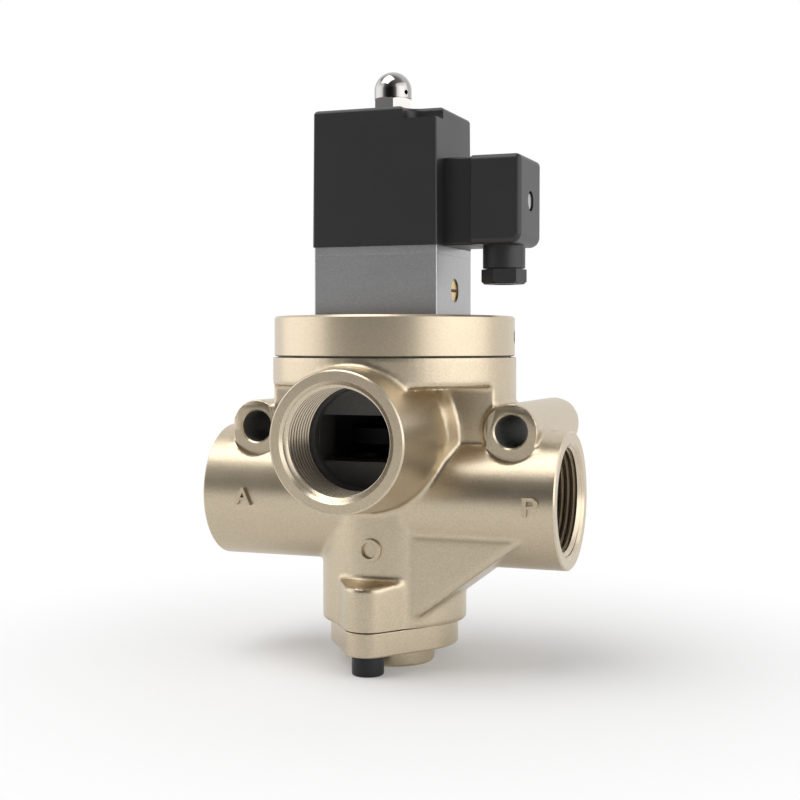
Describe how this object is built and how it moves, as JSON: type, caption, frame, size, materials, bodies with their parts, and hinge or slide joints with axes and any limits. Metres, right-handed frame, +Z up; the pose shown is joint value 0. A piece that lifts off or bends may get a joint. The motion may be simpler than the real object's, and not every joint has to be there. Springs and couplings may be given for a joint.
{
  "type": "pneumatic globe valve",
  "caption": "Solenoid-piloted poppet globe valve: cast body with threaded pipe ports, round piston cover, pilot block, coil and connector plug.",
  "frame": {"origin": "centre of the flat end of the bottom cover's boss, on the stem's axis", "axes": "+Z up along the stem, +X towards the inlet port P, -Y towards the exhaust port O"},
  "size_m": [0.142, 0.1092, 0.23],
  "materials": {
    "cast_paint": "champagne metallic coat on cast aluminium",
    "bare_aluminium": "fine blasted",
    "black_moulding": "matt moulded",
    "grey_moulding": "matt moulded",
    "chrome": "polished plate",
    "brass": "turned",
    "black_steel": "black oxide",
    "steel": "turned",
    "rubber": "smooth"
  },
  "bodies": {
    "valve_body": {"body": "cast_paint", "top_cover": "cast_paint", "cover_seal": "rubber", "cover_screws": "black_steel", "cover_set_screw": "steel", "pilot_block": "bare_aluminium", "block_seal": "rubber", "block_screws": "steel", "coil_plate": "bare_aluminium", "nozzle": "brass", "override_seal": "rubber", "armature_tube": "steel", "plunger_spring": "steel", "coil": "black_moulding", "contact_blades": "steel", "cap_seal": "rubber", "cap_nut": "chrome", "plug_gasket": "rubber", "plug_housing": "black_moulding", "plug_insert": "grey_moulding", "plug_screw": "steel", "gland_nut": "black_moulding", "gland_washer": "steel", "gland_seal": "rubber", "guide_bush": "brass", "stem_seal": "rubber", "upper_seat": "steel", "lower_seat": "steel", "return_spring": "steel", "bottom_cover": "cast_paint", "bottom_seal": "rubber", "bottom_bolts": "black_steel"},
    "spool": {"stem": "black_steel", "upper_poppet": "black_steel", "upper_facing": "rubber", "poppet_spacer": "black_steel", "lower_facing": "rubber", "lower_poppet": "black_steel", "poppet_nut": "steel", "piston": "bare_aluminium", "piston_seal": "rubber", "piston_nut": "steel"},
    "pilot_plunger": {"plunger": "steel", "plunger_seal": "rubber"},
    "override": {"override_screw": "brass"}
  },
  "joints": [
    {"name": "spool_slide", "type": "slide", "parent": "valve_body", "child": "spool", "axis": [0, 0, -1], "range_m": [0, 0.0055], "stiffness_N_per_m": 3000, "springref_m": -0.008, "deforming": ["return_spring"]},
    {"name": "plunger_slide", "type": "slide", "parent": "valve_body", "child": "pilot_plunger", "axis": [0, 0, 1], "range_m": [0, 0.002], "stiffness_N_per_m": 300, "springref_m": -0.004, "deforming": ["plunger_spring"]},
    {"name": "override_turn", "type": "hinge", "parent": "valve_body", "child": "override", "pos_m": [0.0242, 0.0018, 0.1449], "axis": [1, 0, 0], "range_deg": [0, 90]}
  ]
}
